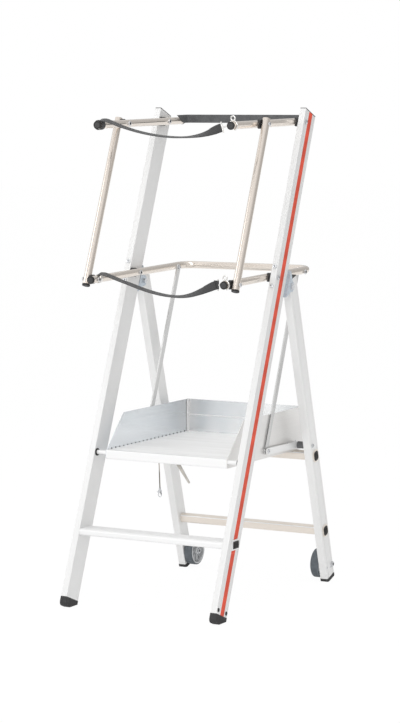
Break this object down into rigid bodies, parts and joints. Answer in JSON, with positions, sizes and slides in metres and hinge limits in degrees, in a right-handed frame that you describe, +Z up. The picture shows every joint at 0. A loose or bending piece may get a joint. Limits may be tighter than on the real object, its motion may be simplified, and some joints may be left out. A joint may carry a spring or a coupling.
{
  "type": "podium step",
  "caption": "Folding podium step: leaning front frame with one tread, a railed work platform with toe boards, strap-closed entry, and a wheeled hinged rear frame.",
  "frame": {"origin": "middle of the footprint, on the floor", "axes": "+Z up, -Y towards the front where a person climbs in, +X to the right of a person facing the tread"},
  "size_m": [0.598, 0.9118, 1.624],
  "materials": {
    "stile_aluminium": "anodised",
    "white_aluminium": "bright anodised",
    "sheet_aluminium": "mill",
    "tube_aluminium": "satin",
    "stripe_red": "tape",
    "dark_rubber": "moulded",
    "black_plastic": "moulded",
    "zinc_plate": "zinc",
    "bolt_steel": "zinc",
    "grey_plastic": "moulded",
    "tyre_grey": "moulded",
    "webbing": "woven"
  },
  "bodies": {
    "front_frame": {"front_stile_left": "stile_aluminium", "front_stile_right": "stile_aluminium", "stile_stripes": "stripe_red", "stile_top_caps": "black_plastic", "front_feet": "dark_rubber", "tread": "stile_aluminium", "tread_plugs": "black_plastic", "hinge_brackets": "zinc_plate", "hinge_bolts": "bolt_steel", "bracket_bolts": "bolt_steel", "platform_bushes": "black_plastic", "rail_pivot_bolts": "bolt_steel"},
    "platform": {"platform_deck": "sheet_aluminium", "platform_front_profile": "white_aluminium", "platform_pivot_pins": "white_aluminium", "toe_board_left": "sheet_aluminium", "toe_board_right": "sheet_aluminium", "toe_board_rear": "sheet_aluminium", "platform_studs": "bolt_steel", "underdeck_brackets": "zinc_plate", "hold_cord": "webbing", "cord_hook": "bolt_steel"},
    "lever": {"release_lever": "grey_plastic"},
    "knee_rail_body": {"knee_rail": "tube_aluminium", "knee_rail_caps": "black_plastic", "knee_rail_saddles": "black_plastic", "strut_bolts": "bolt_steel", "strap_lower": "webbing", "strap_fittings_lower": "bolt_steel"},
    "hand_rail_body": {"hand_rail_left": "tube_aluminium", "hand_rail_right": "tube_aluminium", "hand_rail_caps": "black_plastic", "hand_rail_saddles": "black_plastic", "back_band": "webbing", "strap_upper": "webbing", "strap_fittings_upper": "bolt_steel"},
    "uprights": {"upright_left": "tube_aluminium", "upright_right": "tube_aluminium", "upright_caps": "black_plastic", "upright_bolts": "bolt_steel"},
    "strut_left_body": {"strut_left": "tube_aluminium"},
    "strut_right_body": {"strut_right": "tube_aluminium"},
    "link_left_body": {"link_left": "stile_aluminium"},
    "link_right_body": {"link_right": "stile_aluminium"},
    "rear_frame": {"rear_leg_left": "stile_aluminium", "rear_leg_right": "stile_aluminium", "rear_leg_caps": "black_plastic", "rear_feet": "dark_rubber", "rear_crossbar_lower": "tube_aluminium", "rear_crossbar_upper": "tube_aluminium", "crossbar_plugs": "black_plastic", "wheel_axles": "bolt_steel", "link_spacers": "black_plastic", "link_bolts": "bolt_steel"},
    "wheel_left": {"tyre_left": "tyre_grey", "hub_left": "grey_plastic"},
    "wheel_right": {"tyre_right": "tyre_grey", "hub_right": "grey_plastic"}
  },
  "joints": [
    {"name": "platform_fold", "type": "hinge", "parent": "front_frame", "child": "platform", "pos_m": [0, -0.2557, 0.49], "axis": [1, 0, 0], "range_deg": [0, 56]},
    {"name": "knee_rail_fold", "type": "hinge", "parent": "front_frame", "child": "knee_rail_body", "pos_m": [0, -0.02648, 1.07192], "axis": [1, 0, 0], "range_deg": [0, 56]},
    {"name": "hand_rail_fold", "type": "hinge", "parent": "front_frame", "child": "hand_rail_body", "pos_m": [0, 0.17253, 1.57713], "axis": [1, 0, 0], "range_deg": [0, 56]},
    {"name": "upright_swing", "type": "hinge", "parent": "knee_rail_body", "child": "uprights", "pos_m": [0, -0.30334, 1.06322], "axis": [1, 0, 0], "range_deg": [-56, 0]},
    {"name": "strut_left_swing", "type": "hinge", "parent": "platform", "child": "strut_left_body", "pos_m": [0, 0.01017, 0.49435], "axis": [1, 0, 0], "range_deg": [-56, 0]},
    {"name": "strut_right_swing", "type": "hinge", "parent": "platform", "child": "strut_right_body", "pos_m": [0, 0.01017, 0.49435], "axis": [1, 0, 0], "range_deg": [-56, 0]},
    {"name": "rear_frame_fold", "type": "hinge", "parent": "front_frame", "child": "rear_frame", "pos_m": [0, 0.05912, 1.0382], "axis": [-1, 0, 0], "range_deg": [0, 34.61]},
    {"name": "link_left_swing", "type": "hinge", "parent": "rear_frame", "child": "link_left_body", "pos_m": [0, 0.23721, 0.49], "axis": [-1, 0, 0], "range_deg": [0, 53.03]},
    {"name": "link_right_swing", "type": "hinge", "parent": "rear_frame", "child": "link_right_body", "pos_m": [0, 0.23721, 0.49], "axis": [-1, 0, 0], "range_deg": [0, 53.03]},
    {"name": "wheel_left_spin", "type": "hinge", "parent": "rear_frame", "child": "wheel_left", "pos_m": [0, 0.40592, 0.058], "axis": [1, 0, 0], "continuous": true},
    {"name": "wheel_right_spin", "type": "hinge", "parent": "rear_frame", "child": "wheel_right", "pos_m": [0, 0.40592, 0.058], "axis": [1, 0, 0], "continuous": true},
    {"name": "release_lever_swing", "type": "hinge", "parent": "platform", "child": "lever", "pos_m": [0.017, -0.2272, 0.478], "axis": [0, -1, 0], "range_deg": [0, 40]}
  ],
  "couplings": [
    {"joint": "knee_rail_fold", "follows": "platform_fold", "ratio": 1},
    {"joint": "hand_rail_fold", "follows": "platform_fold", "ratio": 1},
    {"joint": "upright_swing", "follows": "platform_fold", "ratio": -1},
    {"joint": "strut_left_swing", "follows": "platform_fold", "ratio": -1},
    {"joint": "strut_right_swing", "follows": "platform_fold", "ratio": -1},
    {"joint": "rear_frame_fold", "follows": "platform_fold", "ratio": 0.61781},
    {"joint": "link_left_swing", "follows": "platform_fold", "ratio": 0.94679},
    {"joint": "link_right_swing", "follows": "platform_fold", "ratio": 0.94679}
  ]
}
